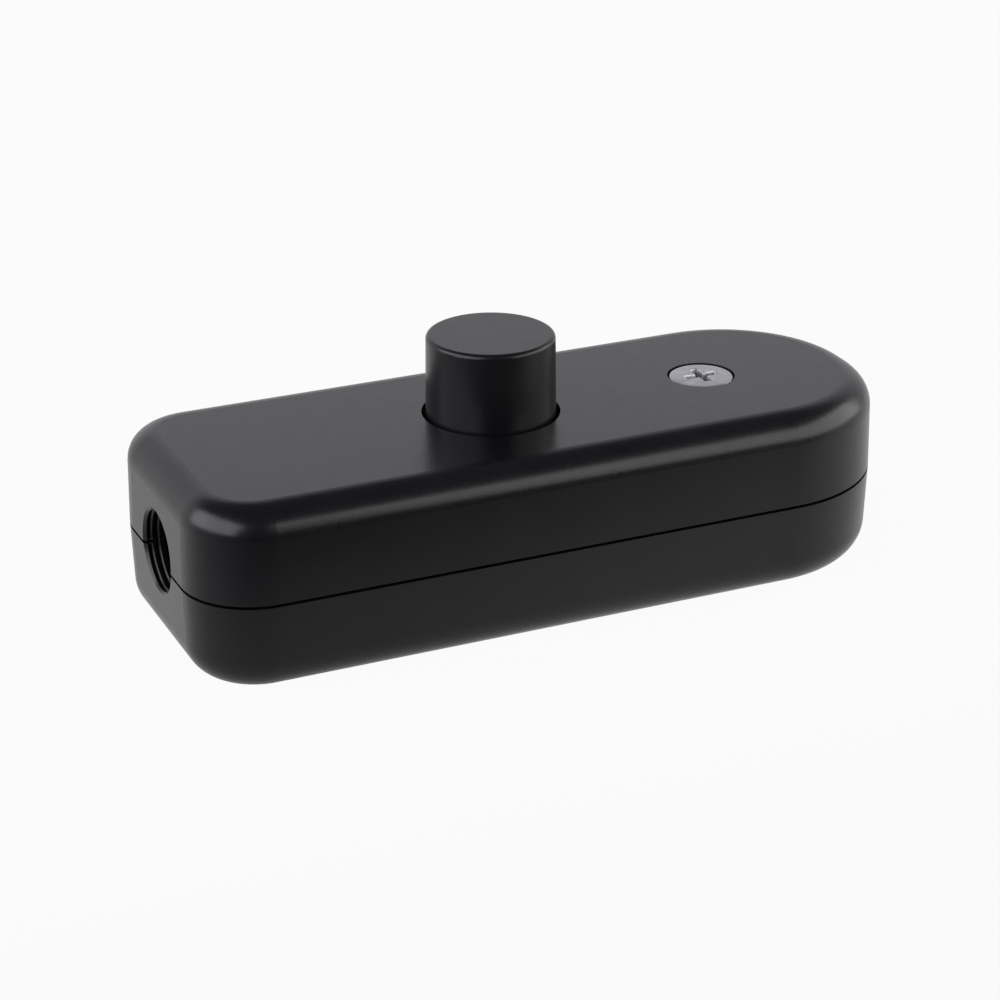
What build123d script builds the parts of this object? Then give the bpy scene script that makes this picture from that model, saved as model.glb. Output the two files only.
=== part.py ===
from build123d import *
import math
import os

os.makedirs("parts", exist_ok=True)

# Inline cord switch, in millimetres. +Z is up, +X points to the cover screw's end, and the
# origin is the centre of the underside. The knob works a push-push switch: a slider with a
# heart-shaped track, a latch wire that rides in the track, and a bridge that wipes two contacts.

# Housing
body_length = 75.0
body_width = 29.0
body_height = 18.5
split_height = 9.15
square_end_radius = 7.1
round_end_flat = 1.2
top_edge_radius = 2.9
bottom_edge_radius = 3.4
cover_draft = 1.0
base_draft = 2.0
wall = 2.0
floor_thickness = 2.0
roof_thickness = 2.0
inner_edge_radius = 1.0
shadow_gap = 0.3
tongue_height = 1.2
tongue_thickness = 0.9
tongue_clearance = 0.12

# Cord inlets, saddles and clamps
inlet_radius = 4.0
inlet_above_middle = 0.65
inlet_chamfer = 0.3
grip_land = 0.15
grip_groove_depth = 0.4
grip_groove_pitch = 0.7
grip_groove_count = 2
cord_radius = 3.25
square_end_to_clamp = 9.0
round_end_to_clamp = 9.5
clamp_width = 4.5
clamp_thickness = 1.9
clamp_screw_y = 7.2
clamp_boss_radius = 2.4
clamp_boss_top = 8.9
saddle_rib_thickness = 0.9
saddle_rib_pitch = 1.8
saddle_rib_count = 3
clamp_tooth = 0.5
clamp_tooth_pitch = 2.25

# Knob and its slider
knob_x = -3.0
knob_radius = 6.4
knob_rise = 8.0
knob_draft = 0.6
knob_edge_radius = 0.45
knob_roof = 1.6
knob_skirt = 1.3
knob_flange_radius = 7.5
knob_flange_thickness = 1.2
knob_hole_clearance = 0.4
knob_stop_gap = 0.1
knob_sleeve_wall = 1.1
travel = 4.0
slider_width = 9.0
slider_bottom = 7.4
stem_radius = 2.5
stem_rib = 1.6
stem_length = 8.2
fit_gap = 0.05
slide_gap = 0.2

# Latch
wire_radius = 0.3
wire_bend_radius = 0.5
wire_length = 6.6
wire_swing = 1.9
wire_gap = 0.2
pivot_height = 3.4
pivot_clearance = 0.1
recess_foot = 0.6
track_clearance = 0.13
track_depth = 0.8
latch_drop = 2.4
leaf_thickness = 0.2
leaf_width = 2.6
leaf_room = 0.4
leaf_foot_gap = 0.9
leaf_top_gap = 0.4

# Return spring
spring_wire_radius = 0.3
spring_coil_radius = 2.15
spring_turns = 7
spring_bore_radius = 2.8
spring_roof = 1.8

# Carrier
carrier_top = 10.9
carrier_wall = 1.4
carrier_floor = 1.2
carrier_corner = 0.7
stake_radius = 1.2
stake_head_radius = 1.8
stake_head_height = 0.7
lug_length = 3.6
lug_width = 4.4

# Contacts and terminals
contact_thickness = 0.5
contact_gap = 0.1
contact_strip_width = 2.0
contact_pitch = 5.4
contact_top = 10.2
tail_height = 1.8
tail_reach = 2.4
link_bend_share = 0.25
link_standoff = 1.0
bridge_thickness = 0.4
bridge_height = 2.4
bridge_level = 11.6
bridge_tip_radius = 0.9
bridge_tip_stand = 0.3
terminal_y = 5.8
clamp_to_terminal = 6.25
post_to_terminal = 2.05
terminal_length = 6.0
terminal_width = 6.0
terminal_height = 7.4
terminal_bore_radius = 1.6
terminal_pad = 0.8
terminal_chamfer = 0.5
seat_wall = 1.0
seat_height = 2.6
barrier_thickness = 1.0
barrier_height = 5.0

# Screws and nut
round_end_to_screw = 17.35
cover_screw_head_radius = 3.25
cover_screw_head_height = 2.4
cover_screw_radius = 1.7
cover_screw_end = 1.0
counterbore_clearance = 0.15
head_chamfer = 0.25
hole_clearance = 0.2
thread_gap = 0.05
post_radius = 4.7
cross_wing_reach = 1.75
cross_wing_width = 0.85
cross_depth = 1.5
cross_taper = 7.0
nut_across_flats = 6.0
nut_height = 2.8
nut_recess = 0.5
small_screw_radius = 1.3
small_head_radius = 2.05
small_head_height = 1.7
screw_slot_width = 0.7
screw_slot_depth = 0.8
clamp_screw_depth = 5.0

# Hooks at the square end
hook_y = 5.8
hook_width = 2.4
hook_thickness = 1.2
hook_nose = 0.7
hook_nose_height = 1.2
hook_bottom = 5.2
hook_gap = 0.15

# Levels and places that follow from the sizes above
left_clamp_x = -body_length / 2 + square_end_to_clamp
right_clamp_x = body_length / 2 - round_end_to_clamp
cover_screw_x = body_length / 2 - round_end_to_screw
left_terminal_x = left_clamp_x + clamp_width / 2 + clamp_to_terminal + terminal_length / 2
right_terminal_x = cover_screw_x - post_radius - post_to_terminal - terminal_length / 2
inlet_height = body_height / 2 + inlet_above_middle
round_end_radius = (body_width - round_end_flat) / 2
inlet_offset = inlet_radius - round_end_flat / 2
round_end_bulge = round_end_radius - math.sqrt(round_end_radius**2 - inlet_offset**2)
rim_level = split_height - shadow_gap / 2
cover_level = split_height + shadow_gap / 2
tongue_level = cover_level + tongue_height
ceiling_level = body_height - roof_thickness
inlet_axis = Plane(origin=(0, 0, inlet_height), z_dir=(1, 0, 0), x_dir=(0, 1, 0))
shoulder_level = ceiling_level - knob_stop_gap - knob_flange_thickness
slider_half = slider_width / 2
shaft_half = slider_half + slide_gap
carrier_floor_level = floor_thickness + carrier_floor
wire_y = -(slider_half + wire_gap + wire_radius)
recess_depth = wire_gap + 2 * wire_radius + leaf_room + slide_gap
recess_back = -(shaft_half + recess_depth)
carrier_half_x = shaft_half + carrier_wall
carrier_half_y = -recess_back + carrier_wall
contact_face = slider_half + bridge_thickness + bridge_tip_stand + contact_gap
swing_angle = math.asin(wire_swing / wire_length)
swing_drop = wire_length * (1 - math.cos(swing_angle))
tip_level = pivot_height + wire_length
terminal_bottom = floor_thickness + terminal_pad
terminal_axis_level = terminal_bottom + terminal_height / 2


def write(node, solid):
    """Write one named piece of the switch."""
    export_step(solid, f"parts/{node}.step")


def plan(inset):
    """Housing outline from above: square end with small corners, round end with large ones."""
    outline = Rectangle(body_length - 2 * inset, body_width - 2 * inset)
    outline = fillet(outline.vertices().group_by(Axis.X)[0], square_end_radius - inset)
    return fillet(outline.vertices().group_by(Axis.X)[-1], round_end_radius - inset)


def rise(inset, bottom, top, draft=0.0):
    """Housing outline drawn upwards, leaning in by the draft."""
    return extrude(Plane.XY.offset(bottom) * plan(inset), top - bottom, taper=draft)


def sink(inset, top, bottom, draft=0.0):
    """Housing outline drawn downwards, leaning in by the draft."""
    face = Plane(origin=(0, 0, top), x_dir=(1, 0, 0), z_dir=(0, 0, -1)) * plan(inset)
    return extrude(face, top - bottom, taper=draft)


def round_bar(x, y, bottom, top, radius):
    """Upright cylinder between two levels."""
    return Pos(x, y, (bottom + top) / 2) * Cylinder(radius, top - bottom)


def block(x, y, bottom, length, width, height):
    """Upright box centred on x and y, standing on a level."""
    return Pos(x, y, bottom + height / 2) * Box(length, width, height)


def cord_hole():
    """Both inlets as one bar along the cord, with a broken edge and grip grooves at each mouth."""
    hole = extrude(inlet_axis * Circle(inlet_radius), body_length, both=True)
    for side, lip in ((-1, inlet_chamfer), (1, round_end_bulge)):
        mouth = Plane(origin=(side * body_length / 2, 0, inlet_height), z_dir=(-side, 0, 0))
        hole += extrude(mouth * Circle(inlet_radius + inlet_chamfer), inlet_chamfer, taper=45)
        for step in range(grip_groove_count):
            groove = mouth.offset(lip + grip_land + step * grip_groove_pitch)
            hole += extrude(groove * Circle(inlet_radius + grip_groove_depth), grip_groove_depth, taper=45)
    return hole


def hook_places():
    """Middle of each hook along the square end, either side of the inlet."""
    x = -body_length / 2 + wall
    return [(x, -hook_y), (x, hook_y)]


def upper_cover():
    """Cover: drafted shell with knob hole, screw tube, rebate for the base's tongue, and hooks."""
    shell = rise(0, cover_level, body_height, cover_draft)
    shell = fillet(shell.faces().sort_by(Axis.Z)[-1].edges(), top_edge_radius)
    cavity = rise(wall, cover_level, ceiling_level, cover_draft)
    cavity = fillet(cavity.faces().sort_by(Axis.Z)[-1].edges(), inner_edge_radius)
    shell -= cavity
    shell -= rise(wall - tongue_thickness - tongue_clearance, cover_level, tongue_level)
    shell -= cord_hole()
    shell += round_bar(cover_screw_x, 0, split_height, ceiling_level, post_radius)
    head_radius = cover_screw_head_radius + counterbore_clearance
    head_level = body_height - cover_screw_head_height
    shell -= round_bar(cover_screw_x, 0, head_level, body_height, head_radius)
    shell -= round_bar(cover_screw_x, 0, split_height, body_height, cover_screw_radius + hole_clearance)
    shell -= round_bar(knob_x, 0, ceiling_level, body_height, knob_radius + knob_hole_clearance)
    for x, y in hook_places():
        arm_x = x + hook_gap + hook_thickness / 2
        nose_x = x - hook_nose / 2 + hook_gap
        shell += block(arm_x, y, hook_bottom, hook_thickness, hook_width, ceiling_level - hook_bottom)
        shell += block(nose_x, y, hook_bottom, hook_nose, hook_width, hook_nose_height)
    return shell


def cord_saddle(x):
    """Ribs with a round notch for the cord, between the two bosses of its clamp."""
    saddle = Part()
    for step in range(saddle_rib_count):
        rib_x = x + (step - (saddle_rib_count - 1) / 2) * saddle_rib_pitch
        saddle += block(rib_x, 0, floor_thickness, saddle_rib_thickness,
                        2 * clamp_screw_y, clamp_boss_top - floor_thickness)
    for y in (-clamp_screw_y, clamp_screw_y):
        saddle += round_bar(x, y, floor_thickness, clamp_boss_top, clamp_boss_radius)
    saddle -= extrude(inlet_axis * Circle(cord_radius), body_length, both=True)
    for y in (-clamp_screw_y, clamp_screw_y):
        bottom = clamp_boss_top - clamp_screw_depth
        saddle -= round_bar(x, y, bottom, clamp_boss_top, small_screw_radius + thread_gap)
    return saddle


def terminal_seat(x, y):
    """Pad under a terminal block, with a low wall on each side of it."""
    side = terminal_width / 2 + fit_gap + seat_wall / 2
    seat = block(x, y, floor_thickness, terminal_length, terminal_width, terminal_pad)
    for offset in (-side, side):
        seat += block(x, y + offset, floor_thickness, terminal_length, seat_wall, seat_height)
    return seat


def lug_places():
    """Middle of the stake through each of the carrier's two lugs."""
    reach = carrier_half_x + lug_length / 2
    return [knob_x - reach, knob_x + reach]


def lower_base():
    """Base: tray with tongue, saddles, terminal seats and barriers, stakes, post and nut pocket."""
    tray = sink(0, rim_level, 0, base_draft)
    tray = fillet(tray.faces().sort_by(Axis.Z)[0].edges(), bottom_edge_radius)
    cavity = sink(wall, rim_level, floor_thickness, base_draft)
    cavity = fillet(cavity.faces().sort_by(Axis.Z)[0].edges(), inner_edge_radius)
    tray -= cavity
    tray += rise(wall - tongue_thickness, rim_level, tongue_level) - rise(wall, rim_level, tongue_level)
    tray -= cord_hole()
    for x in (left_clamp_x, right_clamp_x):
        tray += cord_saddle(x)
    for x in (left_terminal_x, right_terminal_x):
        for y in (-terminal_y, terminal_y):
            tray += terminal_seat(x, y)
        tray += block(x, 0, floor_thickness, terminal_length, barrier_thickness, barrier_height)
    for x in lug_places():
        tray += round_bar(x, 0, floor_thickness, carrier_floor_level + stake_head_height, stake_radius)
        tray += round_bar(x, 0, carrier_floor_level,
                          carrier_floor_level + stake_head_height, stake_head_radius)
    tray += round_bar(cover_screw_x, 0, floor_thickness, split_height, post_radius)
    tray -= round_bar(cover_screw_x, 0, 0, split_height, cover_screw_radius + hole_clearance)
    pocket = RegularPolygon(nut_across_flats / 2 + fit_gap, 6, major_radius=False)
    tray -= Pos(cover_screw_x, 0, 0) * extrude(pocket, nut_recess + nut_height)
    for x, y in hook_places():
        catch = hook_nose + hook_gap
        tray -= block(x - catch / 2 + hook_gap, y, hook_bottom - hook_gap,
                      catch, hook_width + 2 * hook_gap, hook_nose_height + 2 * hook_gap)
    return tray


def push_knob():
    """Knob: hollow cap with a centre sleeve for the stem and a flange that keeps it in the cover."""
    top = body_height + knob_rise
    flange_top = shoulder_level + knob_flange_thickness
    cap = extrude(Plane.XY.offset(flange_top) * Circle(knob_radius), top - flange_top, taper=knob_draft)
    cap = fillet(cap.faces().sort_by(Axis.Z)[-1].edges(), knob_edge_radius)
    cap += round_bar(0, 0, shoulder_level, flange_top, knob_flange_radius)
    inside_top = top - knob_roof
    cap -= round_bar(0, 0, shoulder_level, inside_top, knob_radius - knob_skirt)
    sleeve_inner = stem_radius + fit_gap
    cap += (round_bar(0, 0, shoulder_level, inside_top, sleeve_inner + knob_sleeve_wall)
            - round_bar(0, 0, shoulder_level, inside_top, sleeve_inner))
    return Pos(knob_x, 0, 0) * cap


def latch_track():
    """Heart-shaped groove: up one branch, over the notch that holds the slider down, and back."""
    lobe_level = travel - swing_drop
    groove = 2 * (wire_radius + track_clearance)
    heart = Polyline((0, 0), (wire_swing, lobe_level), (0, latch_drop), (-wire_swing, lobe_level),
                     close=True)
    path = trace(heart, groove)
    for x, z in ((0, 0), (wire_swing, lobe_level), (0, latch_drop), (-wire_swing, lobe_level)):
        path += Pos(x, z) * Circle(groove / 2)
    face = Plane(origin=(knob_x, -slider_half, tip_level), x_dir=(1, 0, 0), z_dir=(0, 1, 0))
    return extrude(face * mirror(path, about=Plane.XZ), track_depth)


def cam_slider():
    """Slider: block with the latch track, a spring bore below and a cross-shaped stem above."""
    height = shoulder_level - slider_bottom
    slider = block(knob_x, 0, slider_bottom, slider_width, slider_width, height)
    slider = chamfer(slider.edges().filter_by(Axis.Z), slide_gap)
    cross = Rectangle(2 * stem_radius, stem_rib) + Rectangle(stem_rib, 2 * stem_radius)
    slider += Pos(knob_x, 0, shoulder_level) * extrude(cross & Circle(stem_radius), stem_length)
    slider -= round_bar(knob_x, 0, slider_bottom, shoulder_level - spring_roof, spring_bore_radius)
    slider -= latch_track()
    return slider


def contact_bridge():
    """Bridge: strip across the slider's face with a domed tip in front of each fixed contact."""
    length = contact_pitch + contact_strip_width
    plate_y = slider_half + bridge_thickness / 2
    bridge = block(knob_x, plate_y, bridge_level - bridge_height / 2, length,
                   bridge_thickness, bridge_height)
    for x in (knob_x - contact_pitch / 2, knob_x + contact_pitch / 2):
        dome = Pos(x, slider_half, bridge_level) * Sphere(bridge_tip_radius)
        keep = bridge_thickness + bridge_tip_stand
        bridge += dome & block(x, slider_half + keep / 2, bridge_level - bridge_height / 2,
                               contact_strip_width, keep, bridge_height)
    return bridge


def return_spring():
    """Coil spring between the carrier's floor and the roof of the slider's bore."""
    bottom = carrier_floor_level + fit_gap + spring_wire_radius
    length = shoulder_level - spring_roof - fit_gap - spring_wire_radius - bottom
    coil = Helix(length / spring_turns, length, spring_coil_radius)
    section = Plane(origin=coil @ 0, z_dir=coil % 0) * Circle(spring_wire_radius)
    return Pos(knob_x, 0, bottom) * sweep(section, path=coil, is_frenet=True)


def latch_wire():
    """Bent wire: the lower end turns in the carrier's wall, the upper end rides in the track."""
    route = FilletPolyline(
        (knob_x, recess_back - carrier_wall + wire_radius, pivot_height),
        (knob_x, wire_y, pivot_height),
        (knob_x, wire_y, tip_level),
        (knob_x, -slider_half + track_depth - track_clearance, tip_level),
        radius=wire_bend_radius)
    section = Plane(origin=route @ 0, z_dir=route % 0) * Circle(wire_radius)
    return sweep(section, path=route)


def latch_leaf_spring():
    """Leaf: bowed strip behind the wire that keeps its end in the track."""
    bottom = pivot_height + leaf_foot_gap
    top = carrier_top - leaf_top_gap
    back = recess_back + fit_gap
    middle = wire_y - wire_radius - slide_gap - leaf_thickness
    bow = ThreePointArc((back, bottom), (middle, (bottom + top) / 2), (back, top))
    strip = extrude(Plane.YZ * (Pos(leaf_thickness / 2, 0) * trace(bow, leaf_thickness)),
                    leaf_width / 2, both=True)
    return Pos(knob_x, 0, 0) * strip


def mechanism_carrier():
    """Carrier: guide shaft for the slider, with the wire's recess, contact windows and two lugs."""
    height = carrier_top - floor_thickness
    carrier = block(knob_x, 0, floor_thickness, 2 * carrier_half_x, 2 * carrier_half_y, height)
    carrier = fillet(carrier.edges().filter_by(Axis.Z), carrier_corner)
    depth = carrier_top - carrier_floor_level
    carrier -= block(knob_x, 0, carrier_floor_level, 2 * shaft_half, 2 * shaft_half, depth)
    recess_bottom = pivot_height - recess_foot
    recess_width = 2 * (wire_swing + wire_radius + wire_gap)
    carrier -= block(knob_x, (recess_back - shaft_half) / 2, recess_bottom, recess_width,
                     -recess_back - shaft_half, carrier_top - recess_bottom)
    pivot = Plane(origin=(knob_x, recess_back, pivot_height), z_dir=(0, -1, 0))
    carrier -= extrude(pivot * Circle(wire_radius + pivot_clearance), carrier_wall)
    window = contact_pitch + contact_strip_width + 2 * slide_gap
    carrier -= block(knob_x, (shaft_half + carrier_half_y) / 2, carrier_floor_level, window,
                     carrier_half_y - shaft_half, depth)
    tail = terminal_axis_level - tail_height / 2 - fit_gap
    carrier -= block(knob_x, contact_face + contact_thickness / 2, tail, 2 * carrier_half_x,
                     contact_thickness + 2 * fit_gap, carrier_top - tail)
    for x in lug_places():
        lug = block(x, 0, floor_thickness, lug_length, lug_width, carrier_floor)
        carrier += lug - round_bar(x, 0, floor_thickness, carrier_floor_level, stake_radius + fit_gap)
    return carrier


def fixed_contact(side, terminal_x):
    """Contact strip: stands beside the slider, and its tail runs into the terminal's bore."""
    strip_x = knob_x + side * contact_pitch / 2
    y = contact_face + contact_thickness / 2
    bottom = carrier_floor_level + fit_gap
    contact = block(strip_x, y, bottom, contact_strip_width, contact_thickness, contact_top - bottom)
    tail_end = terminal_x - side * (terminal_length / 2 - tail_reach)
    contact += block((strip_x + tail_end) / 2, y, terminal_axis_level - tail_height / 2,
                     abs(tail_end - strip_x), contact_thickness, tail_height)
    return contact


def neutral_link():
    """Strip that joins the two neutral terminals round the outside of the carrier."""
    left_end = left_terminal_x + terminal_length / 2 - tail_reach
    right_end = right_terminal_x - terminal_length / 2 + tail_reach
    outer = -(carrier_half_y + link_standoff)
    left_face = left_terminal_x + terminal_length / 2
    right_face = right_terminal_x - terminal_length / 2
    left_room = knob_x - carrier_half_x - left_face
    right_room = right_face - knob_x - carrier_half_x
    line = Polyline(
        (left_end, -terminal_y),
        (left_face + link_bend_share * left_room, -terminal_y),
        (left_face + (1 - link_bend_share) * left_room, outer),
        (right_face - (1 - link_bend_share) * right_room, outer),
        (right_face - link_bend_share * right_room, -terminal_y),
        (right_end, -terminal_y))
    strip = extrude(trace(line, contact_thickness), tail_height)
    return Pos(0, 0, terminal_axis_level - tail_height / 2) * strip


def terminal_block(x, y):
    """Brass block with a bore for the core and a threaded hole for its screw."""
    body = block(x, y, terminal_bottom, terminal_length, terminal_width, terminal_height)
    body = chamfer(body.edges().filter_by(Axis.Z), terminal_chamfer)
    bore = Plane(origin=(x, y, terminal_axis_level), z_dir=(1, 0, 0))
    body -= extrude(bore * Circle(terminal_bore_radius), terminal_length, both=True)
    top = terminal_bottom + terminal_height
    return body - round_bar(x, y, terminal_axis_level, top, small_screw_radius + thread_gap)


def slotted_screw(x, y, bottom, head_level):
    """Small cheese-head screw with a straight slot."""
    screw = round_bar(x, y, bottom, head_level, small_screw_radius)
    head = round_bar(x, y, head_level, head_level + small_head_height, small_head_radius)
    screw += chamfer(head.edges().sort_by(Axis.Z)[-1], head_chamfer)
    slot_level = head_level + small_head_height - screw_slot_depth
    return screw - block(x, y, slot_level, 2 * small_head_radius, screw_slot_width, screw_slot_depth)


def cord_clamp(x):
    """Clamp: bar that arches over the cord, with teeth inside the arch and two screw holes."""
    profile = Plane(origin=(x, 0, 0), z_dir=(1, 0, 0), x_dir=(0, 1, 0))
    reach = clamp_screw_y + clamp_boss_radius
    bar = Pos(0, clamp_boss_top + clamp_thickness / 2) * Rectangle(2 * reach, clamp_thickness)
    arch = Pos(0, inlet_height) * Circle(cord_radius + clamp_thickness)
    above = Pos(0, clamp_boss_top + body_height / 2) * Rectangle(2 * reach, body_height)
    outline = bar + (arch & above) - Pos(0, inlet_height) * Circle(cord_radius)
    clamp = extrude(profile * outline, clamp_width / 2, both=True)
    tooth = Pos(0, inlet_height) * (Circle(cord_radius + clamp_tooth) - Circle(cord_radius - clamp_tooth))
    for offset in (-clamp_tooth_pitch / 2, clamp_tooth_pitch / 2):
        ridge = extrude(profile.offset(offset) * (tooth & above), clamp_tooth / 2, both=True)
        clamp += ridge
    for y in (-clamp_screw_y, clamp_screw_y):
        clamp -= round_bar(x, y, clamp_boss_top, clamp_boss_top + clamp_thickness,
                           small_screw_radius + hole_clearance)
    return clamp


def cover_screw():
    """Cover screw: cheese head, flush with the cover, with a cross recess."""
    head_level = body_height - cover_screw_head_height
    screw = round_bar(cover_screw_x, 0, cover_screw_end, head_level, cover_screw_radius)
    head = round_bar(cover_screw_x, 0, head_level, body_height, cover_screw_head_radius)
    screw += chamfer(head.edges().sort_by(Axis.Z)[-1], head_chamfer)
    top = Plane(origin=(cover_screw_x, 0, body_height), x_dir=(1, 0, 0), z_dir=(0, 0, -1))
    for turn in (0, 90):
        wing = Rot(0, 0, turn) * Rectangle(2 * cross_wing_reach, cross_wing_width)
        screw -= extrude(top * wing, cross_depth, taper=cross_taper)
    return screw


def cover_nut():
    """Hexagon nut in the base's pocket."""
    across = RegularPolygon(nut_across_flats / 2, 6, major_radius=False)
    nut = Pos(cover_screw_x, 0, nut_recess) * extrude(across, nut_height)
    return nut - round_bar(cover_screw_x, 0, nut_recess, nut_recess + nut_height,
                           cover_screw_radius + thread_gap)


write("upper_cover", upper_cover())
write("lower_base", lower_base())
write("push_knob", push_knob())
write("cam_slider", cam_slider())
write("contact_bridge", contact_bridge())
write("return_spring", return_spring())
write("latch_wire", latch_wire())
write("latch_leaf_spring", latch_leaf_spring())
write("mechanism_carrier", mechanism_carrier())
write("line_contact_in", fixed_contact(-1, left_terminal_x))
write("line_contact_out", fixed_contact(1, right_terminal_x))
write("neutral_link", neutral_link())
write("cover_screw", cover_screw())
write("cover_nut", cover_nut())
for end, x in (("in", left_terminal_x), ("out", right_terminal_x)):
    for core, y in (("neutral", -terminal_y), ("line", terminal_y)):
        write(f"terminal_block_{core}_{end}", terminal_block(x, y))
        write(f"terminal_screw_{core}_{end}",
              slotted_screw(x, y, terminal_axis_level + tail_height / 2 + contact_gap,
                            terminal_bottom + terminal_height))
for end, x in (("left", left_clamp_x), ("right", right_clamp_x)):
    write(f"cord_clamp_{end}", cord_clamp(x))
    for side, y in (("front", -clamp_screw_y), ("back", clamp_screw_y)):
        write(f"clamp_screw_{end}_{side}",
              slotted_screw(x, y, clamp_boss_top - clamp_screw_depth + contact_gap,
                            clamp_boss_top + clamp_thickness))
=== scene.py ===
import math

import bmesh
import bpy
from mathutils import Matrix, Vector


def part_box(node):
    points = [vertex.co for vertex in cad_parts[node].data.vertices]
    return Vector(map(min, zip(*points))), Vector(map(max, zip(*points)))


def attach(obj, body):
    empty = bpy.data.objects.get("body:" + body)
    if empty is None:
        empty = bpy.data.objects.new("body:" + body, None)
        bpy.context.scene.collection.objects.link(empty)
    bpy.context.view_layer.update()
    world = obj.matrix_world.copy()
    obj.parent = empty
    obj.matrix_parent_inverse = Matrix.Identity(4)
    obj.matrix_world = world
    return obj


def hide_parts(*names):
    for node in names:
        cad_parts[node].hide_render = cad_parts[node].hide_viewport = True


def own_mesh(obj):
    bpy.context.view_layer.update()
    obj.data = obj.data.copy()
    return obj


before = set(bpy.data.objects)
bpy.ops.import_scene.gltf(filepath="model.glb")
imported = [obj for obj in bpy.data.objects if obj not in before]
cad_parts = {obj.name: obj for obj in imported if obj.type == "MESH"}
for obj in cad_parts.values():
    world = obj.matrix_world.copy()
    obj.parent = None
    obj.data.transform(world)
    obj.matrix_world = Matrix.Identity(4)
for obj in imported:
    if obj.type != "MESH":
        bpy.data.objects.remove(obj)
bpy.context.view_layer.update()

# Camera. It stands in front of the square end and a little above the switch, as in the photograph.
# The lens is long, and the small shift only puts the switch where the picture has it. Here and
# below, lengths are in metres.
camera_azimuth = -24.48           # degrees
camera_elevation = 23.41          # degrees
camera_distance = 0.28118
camera_clip = 0.01
sensor_width = 36                 # millimetres, like the focal length
focal_length = 2.8315 * sensor_width
camera_shift = (-0.01886, -0.00785)
housing_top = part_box("upper_cover")[1].z
camera_data = bpy.data.cameras.new("camera")
camera_data.sensor_width = sensor_width
camera_data.lens = focal_length
camera_data.shift_x, camera_data.shift_y = camera_shift
camera_data.clip_start = camera_clip
camera = bpy.data.objects.new("camera", camera_data)
bpy.context.scene.collection.objects.link(camera)


def away(azimuth, elevation):
    """Unit vector away from the switch, in degrees. Azimuth 0 is its front and 90 its round end."""
    azimuth, elevation = math.radians(azimuth), math.radians(elevation)
    return Vector((math.sin(azimuth) * math.cos(elevation),
                   -math.cos(azimuth) * math.cos(elevation),
                   math.sin(elevation)))


backwards = away(camera_azimuth, camera_elevation)
camera.location = Vector((0, 0, housing_top / 2)) + backwards * camera_distance
camera.rotation_euler = (-backwards).to_track_quat("-Z", "Y").to_euler()
bpy.context.scene.camera = camera


# Floor. A large sheet of matt pale grey card that the switch stands on. Towards the camera its colour
# is painted darker: painted shade that stands in for the dim, shadowed floor in front, which the gloss
# of the parts reflects. It whitens where the camera sees it. The gloss of the parts sees it white behind
# the switch and to the right, and that white sets in along a slanting line.
def new_material(name, roughness, metallic=0.0):
    """Material, with its nodes, its links and its shader."""
    material = bpy.data.materials.new(name)
    material.use_nodes = True
    shader = material.node_tree.nodes["Principled BSDF"]
    shader.inputs["Roughness"].default_value = roughness
    shader.inputs["Metallic"].default_value = metallic
    return material, material.node_tree.nodes, material.node_tree.links, shader


def own_coordinates(nodes):
    """Coordinates in the piece's own frame, so that its marks stay in place when it moves."""
    return nodes.new("ShaderNodeTexCoord").outputs["Object"]


def weighted_sum(nodes, links, first, second, weight):
    """First plus weight times second."""
    node = nodes.new("ShaderNodeMath")
    node.operation = "MULTIPLY_ADD"
    for value, socket in zip((second, weight, first), node.inputs):
        if isinstance(value, float):
            socket.default_value = value
        else:
            links.new(value, socket)
    return node.outputs[0]


def remap(nodes, links, source, old, new):
    """The number, carried from its old range to the new one and held at its ends."""
    node = nodes.new("ShaderNodeMapRange")
    links.new(source, node.inputs["Value"])
    node.inputs["From Min"].default_value, node.inputs["From Max"].default_value = old
    node.inputs["To Min"].default_value, node.inputs["To Max"].default_value = new
    return node.outputs["Result"]


card_half = 1.5
card_roughness = 0.9
card_specular = 0.1
card_shade = 0.30
# Painted shade: towards the camera the card's colour falls to the value below, over the span after it.
card_front_painted_shade = 0.05
painted_shade_fade = (-0.030, -0.056)      # how far in front the card starts and ends to darken
whitening_seen = 0.95             # share of white that the camera sees
whitening_in_gloss = 0.73         # share of white that the gloss sees behind
white_behind = (-0.058, -0.014)   # where that white sets in and where it is full
white_slant = 0.47                # how much further forward it starts for each length to the right
floor_mesh = bpy.data.meshes.new("floor")
floor_mesh.from_pydata([(-card_half, -card_half, 0), (card_half, -card_half, 0),
                        (card_half, card_half, 0), (-card_half, card_half, 0)], [], [(0, 1, 2, 3)])
floor = bpy.data.objects.new("floor", floor_mesh)
bpy.context.scene.collection.objects.link(floor)
card, nodes, links, shader = new_material("pale_card", card_roughness)
shader.inputs["Specular IOR Level"].default_value = card_specular
ray = nodes.new("ShaderNodeLightPath")
position = nodes.new("ShaderNodeSeparateXYZ")
links.new(own_coordinates(nodes), position.inputs["Vector"])
# The card's colour, with the painted shade towards the camera.
shade = remap(nodes, links, position.outputs["Y"], painted_shade_fade, (card_shade, card_front_painted_shade))
links.new(shade, shader.inputs["Base Color"])
slant = weighted_sum(nodes, links, position.outputs["Y"], position.outputs["X"], white_slant)
behind = remap(nodes, links, slant, white_behind, (0, whitening_in_gloss))
whiteness = weighted_sum(nodes, links, 0.0, ray.outputs["Is Camera Ray"], whitening_seen)
whiteness = weighted_sum(nodes, links, whiteness, ray.outputs["Is Glossy Ray"], behind)
whiteness = weighted_sum(nodes, links, whiteness, ray.outputs["Is Transmission Ray"], behind)
white = nodes.new("ShaderNodeEmission")
whitened = nodes.new("ShaderNodeMixShader")
links.new(whiteness, whitened.inputs["Fac"])
links.new(shader.outputs["BSDF"], whitened.inputs[1])
links.new(white.outputs["Emission"], whitened.inputs[2])
links.new(whitened.outputs["Shader"], nodes["Material Output"].inputs["Surface"])
floor_mesh.materials.append(card)


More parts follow.
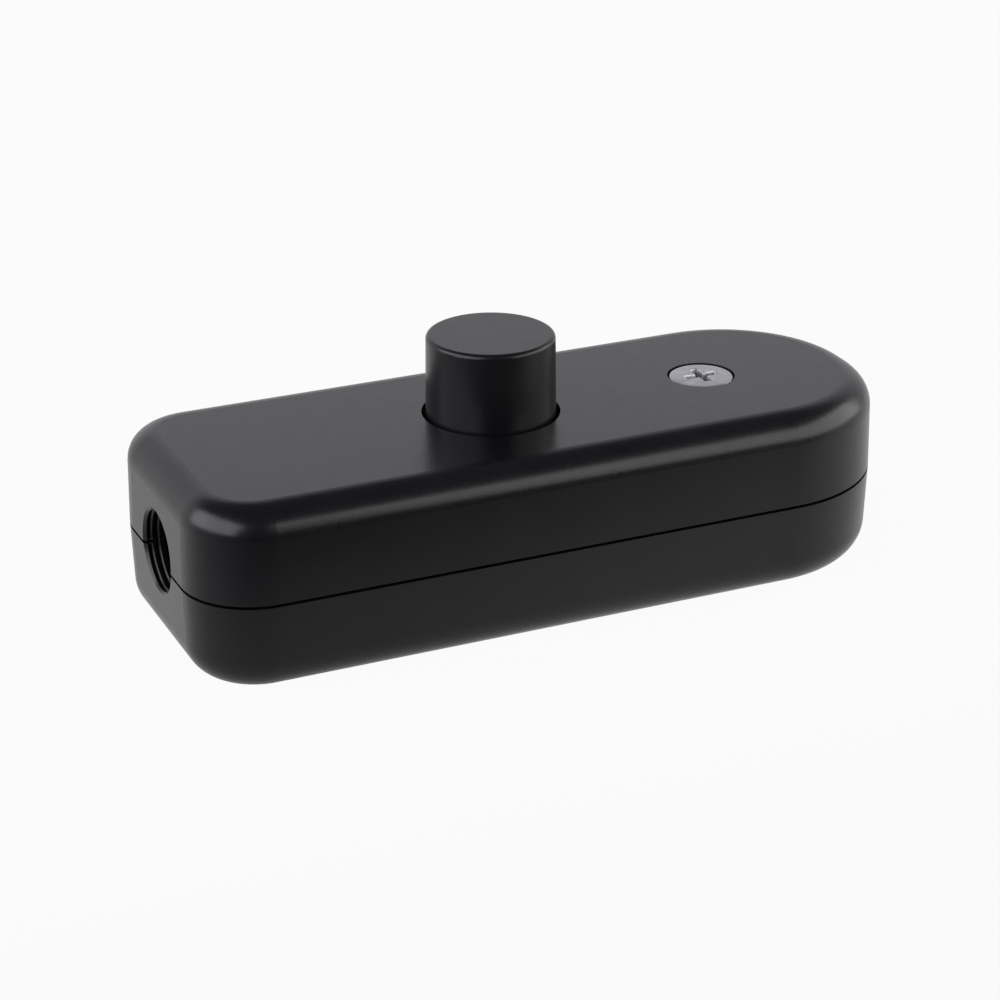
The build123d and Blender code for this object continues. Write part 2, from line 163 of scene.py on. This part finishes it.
# Studio. A white backdrop stands behind the switch up to about thirty degrees and fades towards its
# sides. The ceiling and the room at the camera's side are dim, which gives the dark front edge. Three
# flat softboxes light the ends and the top. The third stands behind, and no gloss shows it.
def ramp(nodes, links, source, span, dark, light):
    """Colour that goes from dark to light while the number goes over the span."""
    node = nodes.new("ShaderNodeValToRGB")
    links.new(source, node.inputs["Fac"])
    for element, position, colour in zip(node.color_ramp.elements, span, (dark, light)):
        element.position = position
        element.color = (*colour, 1)
    return node.outputs["Color"]


def softbox(name, azimuth, elevation, distance, width, height, radiance, colour, in_gloss=True):
    """Flat soft lamp that faces the switch. A radiance of 1 is as bright as plain white."""
    lamp = bpy.data.lights.new(name, "AREA")
    lamp.shape = "RECTANGLE"
    lamp.size = width
    lamp.size_y = height
    lamp.color = colour
    lamp.energy = radiance * math.pi * width * height
    holder = bpy.data.objects.new(name, lamp)
    bpy.context.scene.collection.objects.link(holder)
    outwards = away(azimuth, elevation)
    holder.location = outwards * distance
    holder.rotation_euler = outwards.to_track_quat("Z", "Y").to_euler()
    holder.visible_glossy = in_gloss


backdrop_colour = (0.96, 0.97, 1.0)
room_colour = (0.13, 0.13, 0.15)
backdrop_fade = (math.sin(math.radians(32)), math.sin(math.radians(44)))     # its upper edge
side_fade = (-0.25, 1.0)          # from a little in front of the sides to straight behind
white_light = (1.0, 1.0, 1.0)
cool_light = (0.93, 0.92, 1.0)
world = bpy.data.worlds.new("studio")
world.use_nodes = True
nodes = world.node_tree.nodes
links = world.node_tree.links
direction = nodes.new("ShaderNodeSeparateXYZ")
links.new(nodes.new("ShaderNodeTexCoord").outputs["Generated"], direction.inputs["Vector"])
below_ceiling = remap(nodes, links, direction.outputs["Z"], backdrop_fade, (1, 0))
behind = remap(nodes, links, direction.outputs["Y"], side_fade, (0, 1))
backdrop = weighted_sum(nodes, links, 0.0, below_ceiling, behind)
studio_colour = ramp(nodes, links, backdrop, (0, 1), room_colour, backdrop_colour)
links.new(studio_colour, nodes["Background"].inputs["Color"])
bpy.context.scene.world = world
softbox("right_softbox", azimuth=60, elevation=22, distance=0.9, width=1.5, height=0.64,
        radiance=2.9, colour=white_light)
softbox("left_softbox", azimuth=-83, elevation=27, distance=0.9, width=1.45, height=0.74,
        radiance=3.6, colour=cool_light)
softbox("key_softbox", azimuth=195, elevation=52, distance=0.8, width=0.5, height=0.5,
        radiance=1.0, colour=white_light, in_gloss=False)
bpy.context.scene.view_settings.view_transform = "Standard"


# Lower base. The lower shell of the housing, injection moulded in black plastic from a tool with
# a fine spark-eroded grain. It carries the terminals, the clamps and the carrier of the mechanism.
def noise(nodes, links, coordinates, scale, detail):
    """Noise texture, with its scale in features per metre."""
    texture = nodes.new("ShaderNodeTexNoise")
    texture.inputs["Scale"].default_value = scale
    texture.inputs["Detail"].default_value = detail
    links.new(coordinates, texture.inputs["Vector"])
    return texture.outputs["Fac"]


def add_bump(nodes, links, shader, height, strength, distance):
    """Bump from a height between 0 and 1, with the distance in metres."""
    bump = nodes.new("ShaderNodeBump")
    bump.inputs["Strength"].default_value = strength
    bump.inputs["Distance"].default_value = distance
    links.new(height, bump.inputs["Height"])
    links.new(bump.outputs["Normal"], shader.inputs["Normal"])


def moulded_plastic(name, dark, light, roughness, specular, grain_size, grain_height):
    """Moulded plastic: slight shade changes, patches of gloss, and the tool's fine grain as bump."""
    material, nodes, links, shader = new_material(name, roughness)
    shader.inputs["Specular IOR Level"].default_value = specular
    coordinates = own_coordinates(nodes)
    flow_marks = noise(nodes, links, coordinates, scale=180, detail=2)
    colour = ramp(nodes, links, flow_marks, (0.35, 0.7), dark, light)
    links.new(colour, shader.inputs["Base Color"])
    patches = noise(nodes, links, coordinates, scale=900, detail=4)
    glossiest, dullest = roughness - 0.012, roughness + 0.018
    gloss = remap(nodes, links, patches, (0.3, 0.7), (glossiest, dullest))
    links.new(gloss, shader.inputs["Roughness"])
    grain = noise(nodes, links, coordinates, scale=1 / grain_size, detail=2)
    add_bump(nodes, links, shader, grain, strength=0.35, distance=grain_height)
    return material


def finish_node(node, material):
    """Gives a carried-over piece its material."""
    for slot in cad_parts[node].material_slots:
        slot.material = material


housing_plastic = moulded_plastic("housing_plastic", dark=(0.0030, 0.0030, 0.0036),
                                  light=(0.0046, 0.0046, 0.0054), roughness=0.27, specular=0.36,
                                  grain_size=0.00014, grain_height=0.000006)
finish_node("lower_base", housing_plastic)


# Cover nut. A hexagon nut that sits in its pocket in the base's underside, cold formed in steel
# with chamfered corners and a tapped hole. It is zinc plated and holds the cover screw's end.
def plated_steel(name, dark, light, roughness):
    """Zinc-plated steel: small dull patches in the plating, and faint rings left by the turning tool."""
    material, nodes, links, shader = new_material(name, roughness, metallic=1.0)
    coordinates = own_coordinates(nodes)
    plating = noise(nodes, links, coordinates, scale=900, detail=4)
    colour = ramp(nodes, links, plating, (0.3, 0.7), dark, light)
    links.new(colour, shader.inputs["Base Color"])
    wear = noise(nodes, links, coordinates, scale=2500, detail=3)
    glossiest, dullest = roughness - 0.06, roughness + 0.1
    links.new(remap(nodes, links, wear, (0, 1), (glossiest, dullest)), shader.inputs["Roughness"])
    rings = nodes.new("ShaderNodeTexWave")
    rings.wave_type = "RINGS"
    rings.rings_direction = "Z"
    rings.inputs["Scale"].default_value = 1300
    rings.inputs["Distortion"].default_value = 0.6
    links.new(coordinates, rings.inputs["Vector"])
    ring_weight = 0.4
    height = weighted_sum(nodes, links, wear, rings.outputs["Fac"], ring_weight)
    add_bump(nodes, links, shader, height, strength=0.3, distance=0.000006)
    return material


def foot(low, high):
    """Point on the ground under the middle of a box."""
    middle = (low + high) / 2
    return Vector((middle.x, middle.y, 0))


def add_piece(name, mesh, place, material, replaced):
    """Makes a finished mesh a piece of the case, in place of the plainer piece that came with it."""
    bmesh.ops.recalc_face_normals(mesh, faces=mesh.faces)
    data = bpy.data.meshes.new(name)
    mesh.to_mesh(data)
    mesh.free()
    data.shade_smooth()
    data.set_sharp_from_angle(angle=crease_angle)
    data.materials.append(material)
    piece = bpy.data.objects.new(name, data)
    piece.location = place
    bpy.context.scene.collection.objects.link(piece)
    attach(piece, "case")
    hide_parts(replaced)
    return piece


def even_angles(count):
    """Angles of an even division of the turn."""
    return [math.tau * k / count for k in range(count)]


def turned(angles, rings):
    """Mesh made of rings about a vertical axis. Each ring is a height and its outline.

    An outline gives the radius by angle. None at either end closes the mesh in a point there.
    Otherwise the last ring joins the first.
    """
    mesh = bmesh.new()
    rows = []
    for height, outline in rings:
        if outline is None:
            rows.append([mesh.verts.new((0, 0, height))] * len(angles))
        else:
            rows.append([mesh.verts.new((outline(angle) * math.cos(angle),
                                         outline(angle) * math.sin(angle), height)) for angle in angles])
    joined = rings[0][1] is not None
    for upper, lower in zip(rows, rows[1:] + rows[:1] if joined else rows[1:]):
        for k in range(len(angles)):
            corners = [upper[k], upper[k - 1], lower[k - 1], lower[k]]
            mesh.faces.new(list(dict.fromkeys(corners)))
    return mesh


def threaded(radius, pitch, height, limit=math.inf):
    """Outline of a thread at a height: a ridge that climbs one pitch in each turn, cut at a limit."""
    def outline(angle):
        turn = (height / pitch - angle / math.tau) % 1
        return min(radius - thread_depth * pitch * abs(2 * turn - 1), limit)
    return outline


def thread_levels(start, end, pitch):
    """Heights from start to end, with the same number of them in each turn of a thread."""
    count = round(abs(end - start) / pitch * levels_a_turn)
    return [start + (end - start) * k / count for k in range(count + 1)]


def nut_side(depth):
    """Outline of the nut at a depth from its nearer face: a hexagon cut by the chamfer's cone."""
    flat = (nut_high.y - nut_low.y) / 2
    cone = chamfer_start + chamfer_slope * depth
    sixth = math.pi / 3
    return lambda angle: min(flat / math.cos(angle % sixth - sixth / 2), cone)


screw_steel = plated_steel("screw_steel", dark=(0.44, 0.44, 0.46), light=(0.54, 0.54, 0.56),
                           roughness=0.4)
crease_angle = math.radians(32)
thread_depth = 0.54               # share of the pitch
levels_a_turn = 6
cover_thread_pitch = 0.0006
cover_shank_radius = 0.0017
bore_room = 0.00005               # between the nut's thread and the screw's
nut_facets = 96
chamfer_start = 0.00295           # radius of the chamfer's cone at the face
chamfer_slope = 1.73
chamfer_step = 0.00005
chamfer_depths = [chamfer_step * k for k in range(8)]
nut_low, nut_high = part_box("cover_nut")
screw_low, screw_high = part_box("cover_screw")
screw_foot = foot(screw_low, screw_high)
nut_rings = [(nut_high.z - depth, nut_side(depth)) for depth in chamfer_depths]
nut_rings += [(nut_low.z + depth, nut_side(depth)) for depth in reversed(chamfer_depths)]
nut_rings += [(level, threaded(cover_shank_radius + bore_room, cover_thread_pitch, level))
              for level in thread_levels(nut_low.z, nut_high.z, cover_thread_pitch)]
add_piece("cover_nut_tapped", turned(even_angles(nut_facets), nut_rings), screw_foot, screw_steel,
          "cover_nut")


# Terminals. Four blocks sawn from drawn brass bar, drilled for the cores, each with a
# zinc-plated slotted screw. They stand in the base's seats, one for each core at each end.
def drawn_metal(name, dark, light, roughness, stretch):
    """Bare metal with long marks from drawing or rolling along one axis, and small tarnished spots."""
    material, nodes, links, shader = new_material(name, roughness, metallic=1.0)
    coordinates = own_coordinates(nodes)
    stretched = nodes.new("ShaderNodeMapping")
    stretched.inputs["Scale"].default_value = stretch
    links.new(coordinates, stretched.inputs["Vector"])
    marks = noise(nodes, links, stretched.outputs["Vector"], scale=3000, detail=4)
    tarnish = noise(nodes, links, coordinates, scale=700, detail=3)
    colour = ramp(nodes, links, tarnish, (0.35, 0.6), dark, light)
    links.new(colour, shader.inputs["Base Color"])
    glossiest, dullest = roughness - 0.08, roughness + 0.12
    links.new(remap(nodes, links, marks, (0.2, 0.8), (glossiest, dullest)), shader.inputs["Roughness"])
    add_bump(nodes, links, shader, marks, strength=0.25, distance=0.000008)
    return material


def circle(radius):
    """Outline of the same radius at every angle."""
    return lambda angle: radius


def rounded_edge(face, radius, edge, steps):
    """Rings round the edge of a screw's head, from its face out to its side."""
    rings = []
    for step in range(1, steps + 1):
        bend = math.pi / 2 * step / steps
        rings.append((face - edge * (1 - math.cos(bend)), circle(radius - edge * (1 - math.sin(bend)))))
    return rings


def shank(radius, pitch, chamfer, seat, tip):
    """Rings down a screw's threaded shank, from under its head to its chamfered and closed tip."""
    rings = [(level, threaded(radius, pitch, level, limit=radius - chamfer + max(level - tip, 0)))
             for level in thread_levels(seat, tip, pitch)]
    return rings + [(tip, None)]


def cut_slot(mesh, top):
    """The mesh with a straight slot cut across its head, by a bar that sticks out on three sides."""
    bar = bmesh.new()
    bmesh.ops.create_cube(bar, size=1)
    bmesh.ops.scale(bar, vec=(4 * small_head_radius, slot_width, 2 * slot_depth), verts=bar.verts)
    bmesh.ops.translate(bar, vec=(0, 0, top), verts=bar.verts)
    holders = []
    for shape in (mesh, bar):
        bmesh.ops.recalc_face_normals(shape, faces=shape.faces)
        holder = bpy.data.objects.new("blank", bpy.data.meshes.new("blank"))
        bpy.context.scene.collection.objects.link(holder)
        shape.to_mesh(holder.data)
        shape.free()
        holders.append(holder)
    cut = holders[0].modifiers.new("slot", "BOOLEAN")
    cut.object = holders[1]
    cut.operation = "DIFFERENCE"
    cut.solver = "EXACT"
    slotted = bmesh.new()
    slotted.from_object(holders[0], bpy.context.evaluated_depsgraph_get())
    for holder in holders:
        blank = holder.data
        bpy.data.objects.remove(holder)
        bpy.data.meshes.remove(blank)
    return slotted


def slotted_screw(node):
    """Small screw with a slotted cheese head and a rolled thread, in place of the plain one."""
    low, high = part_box(node)
    seat = high.z - small_head_height
    face_radius = small_head_radius - small_edge
    rings = [(high.z, None)]
    rings += [(high.z - small_crown * share**2, circle(face_radius * share)) for share in crown_shares]
    rings += rounded_edge(high.z - small_crown, small_head_radius, small_edge, steps=3)
    rings.append((seat, circle(small_head_radius)))
    rings += shank(small_shank_radius, small_thread_pitch, small_tip_chamfer, seat, low.z)
    mesh = cut_slot(turned(even_angles(small_facets), rings), high.z)
    add_piece(node + "_threaded", mesh, foot(low, high), screw_steel, node)


small_facets = 48
small_head_radius = 0.00205
small_head_height = 0.0017
small_crown = 0.00005
crown_shares = (0.3, 0.6, 1)
small_edge = 0.0002
small_shank_radius = 0.0013
small_thread_pitch = 0.0005
small_tip_chamfer = 0.0003
slot_width = 0.0007
slot_depth = 0.0008
terminal_brass = drawn_metal("terminal_brass", dark=(0.66, 0.49, 0.22), light=(0.78, 0.60, 0.30),
                             roughness=0.34, stretch=(0.08, 1, 1))
for core in ("neutral", "line"):
    for end in ("in", "out"):
        finish_node(f"terminal_block_{core}_{end}", terminal_brass)
        slotted_screw(f"terminal_screw_{core}_{end}")

# Neutral link and fixed contacts. Stamped and bent from rolled phosphor bronze strip. The link
# joins the neutral terminals, and each contact stands beside the slider with its tail in a terminal.
contact_bronze = drawn_metal("contact_bronze", dark=(0.60, 0.33, 0.15), light=(0.72, 0.42, 0.20),
                             roughness=0.3, stretch=(0.1, 1, 0.4))
for node in ("neutral_link", "line_contact_in", "line_contact_out"):
    finish_node(node, contact_bronze)

# Mechanism carrier. A guide shaft moulded in dark grey glass-filled plastic, so its surface is
# duller and rougher than the housing's. Two stakes of the base hold its lugs.
carrier_plastic = moulded_plastic("carrier_plastic", dark=(0.09, 0.09, 0.10), light=(0.14, 0.14, 0.15),
                                  roughness=0.55, specular=0.4, grain_size=0.0003, grain_height=0.00002)
finish_node("mechanism_carrier", carrier_plastic)


# Return spring. Hard drawn spring steel wire, coiled with one closed turn at each end, and ground flat
# there. It stands on the carrier's floor, lifts the slider, and shortens as the knob is pressed.
def coiled_spring(low, high):
    """Mesh of the spring between two heights, about the vertical axis."""
    bottom = low + ground_share * wire_radius
    top = high - ground_share * wire_radius
    mesh = bmesh.new()
    rows = []
    for step in range(round(coil_turns * steps_a_turn) + 1):
        turn = step / steps_a_turn
        angle = math.tau * turn
        open_share = min(max((turn - 1) / (coil_turns - 2), 0), 1)
        rise = closed_pitch * (min(turn, 1) + max(turn - coil_turns + 1, 0))
        rise += open_share * (top - bottom - 2 * closed_pitch)
        row = []
        for side in range(wire_sides):
            bend = math.tau * side / wire_sides
            reach = coil_radius + wire_radius * math.cos(bend)
            level = bottom + rise + wire_radius * math.sin(bend)
            level = min(max(level, low), high)
            row.append(mesh.verts.new((reach * math.cos(angle), reach * math.sin(angle), level)))
        rows.append(row)
    for lower, upper in zip(rows, rows[1:]):
        for side in range(wire_sides):
            mesh.faces.new([lower[side - 1], lower[side], upper[side], upper[side - 1]])
    mesh.faces.new(rows[0])
    mesh.faces.new(rows[-1])
    return mesh


spring_steel = drawn_metal("spring_steel", dark=(0.34, 0.34, 0.36), light=(0.50, 0.50, 0.52),
                           roughness=0.3, stretch=(1, 1, 0.1))
spring_low, spring_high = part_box("return_spring")
spring_axis = foot(spring_low, spring_high)
wire_radius = 0.0003
coil_radius = spring_high.y - spring_axis.y - wire_radius
coil_turns = 8.5
closed_pitch = 2.06 * wire_radius     # the closed turns lie just apart
ground_share = 0.4                # how much of the wire's radius is ground away at each end
steps_a_turn = 36
wire_sides = 14
spring = add_piece("return_spring_coiled", coiled_spring(spring_low.z, spring_high.z), spring_axis,
                   spring_steel, "return_spring")
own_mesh(spring)

# Latch wire. Hard drawn spring steel wire, bent twice. Its lower end turns in the carrier's wall, and
# its upper end rides in the slider's track and holds the slider down.
finish_node("latch_wire", spring_steel)

# Latch leaf spring. A strip of phosphor bronze, bowed so that its ends stand against the back of the
# carrier's recess and its middle keeps the wire in the track.
finish_node("latch_leaf_spring", contact_bronze)

# Slider and contact bridge. The slider is moulded in natural white acetal, slightly waxy, and
# carries the latch track. The bridge is a bronze strip that wipes both fixed contacts.
slider_plastic = moulded_plastic("slider_plastic", dark=(0.68, 0.67, 0.62), light=(0.77, 0.76, 0.72),
                                 roughness=0.42, specular=0.5, grain_size=0.0002, grain_height=0.000006)
finish_node("cam_slider", slider_plastic)
finish_node("contact_bridge", contact_bronze)

# Cord clamps. Arched bars moulded in black plastic with two ridges inside, each screwed down on
# its bosses by two zinc-plated screws, so that the cord can't be pulled out.
clamp_plastic = moulded_plastic("clamp_plastic", dark=(0.030, 0.030, 0.033), light=(0.050, 0.050, 0.055),
                                roughness=0.45, specular=0.4, grain_size=0.0002, grain_height=0.000012)
for end in ("left", "right"):
    finish_node(f"cord_clamp_{end}", clamp_plastic)
    for side in ("front", "back"):
        slotted_screw(f"clamp_screw_{end}_{side}")

# Push knob. A hollow cap moulded in the same black as the housing, in a slightly duller tool. It
# is pressed on the slider's stem, and its flange stops it under the cover.
knob_plastic = moulded_plastic("knob_plastic", dark=(0.0032, 0.0032, 0.0038),
                               light=(0.0048, 0.0048, 0.0056), roughness=0.3, specular=0.34,
                               grain_size=0.0001, grain_height=0.000005)
finish_node("push_knob", knob_plastic)

# Upper cover. The upper shell of the housing, moulded like the base and clipped over its tongue.
# A thin shadow line is left all round between the two.
finish_node("upper_cover", housing_plastic)


# Cover screw. A cheese-head machine screw, cold formed in steel with a cross recess, thread
# rolled and zinc plated. Its head lies flush in the cover, and it runs down into the nut.
def cross_recess(inset, growth=0.0):
    """Outline of the cross recess, drawn in by its taper and let out by the growth."""
    half_width = wing_width / 2 - inset
    reach = wing_reach - inset

    def outline(angle):
        wings = [min(half_width / max(abs(value), half_width / reach), reach)
                 for value in (math.sin(angle), math.cos(angle))]
        return sum(wing**corner_power for wing in wings)**(1 / corner_power) + growth
    return outline


def between(inner, outer, share):
    """Outline that lies a share of the way from the inner outline to the outer one."""
    return lambda angle: inner(angle) + share * (outer(angle) - inner(angle))


wing_reach = 0.00175              # from the screw's axis to the end of a wing of the cross
wing_width = 0.00085
wing_steps = 6
flank_steps = 10
corner_power = 9                  # the higher, the sharper the recess's inner corners
recess_depth = 0.0015
recess_taper = math.tan(math.radians(7))
recess_lip = 0.00006              # width of the bevel at the recess's mouth
recess_shares = (1, 0.75, 0.5, 0.25, 0.06)
floor_depth = 1.04 * recess_depth
floor_share = 0.6
point_depth = 1.12 * recess_depth
head_radius = (screw_high.x - screw_low.x) / 2
head_height = 0.0024
head_crown = 0.00006
head_edge = 0.00022
face_shares = (0.25, 0.5, 0.75, 1)
tip_chamfer = 0.0004
wing_angle = math.asin(wing_width / 2 / wing_reach)
half_wing = [wing_angle * k / wing_steps for k in range(wing_steps)]
half_wing += [wing_angle + (math.pi / 4 - wing_angle) * k / flank_steps for k in range(flank_steps)]
quarter = half_wing + [math.pi / 4] + [math.pi / 2 - angle for angle in reversed(half_wing[1:])]
cross_angles = [turn * math.pi / 2 + angle for turn in range(4) for angle in quarter]
top = screw_high.z
shoulder = top - head_height
recess_floor = cross_recess(recess_depth * recess_taper)
recess_mouth = cross_recess(0, recess_lip)
face_edge = circle(head_radius - head_edge)
screw_rings = [(top - point_depth, None), (top - floor_depth, between(circle(0), recess_floor, floor_share))]
for share in recess_shares:
    screw_rings.append((top - recess_depth * share, cross_recess(recess_depth * share * recess_taper)))
screw_rings.append((top - recess_lip / 3, cross_recess(0, recess_lip / 3)))
screw_rings.append((top, recess_mouth))
for share in face_shares:
    screw_rings.append((top - head_crown * share, between(recess_mouth, face_edge, share)))
screw_rings += rounded_edge(top - head_crown, head_radius, head_edge, steps=4)
screw_rings.append((shoulder + head_edge / 2, circle(head_radius)))
screw_rings.append((shoulder, circle(head_radius - head_edge / 2)))
screw_rings += shank(cover_shank_radius, cover_thread_pitch, tip_chamfer, shoulder, screw_low.z)
add_piece("cover_screw_threaded", turned(cross_angles, screw_rings), screw_foot, screw_steel,
          "cover_screw")
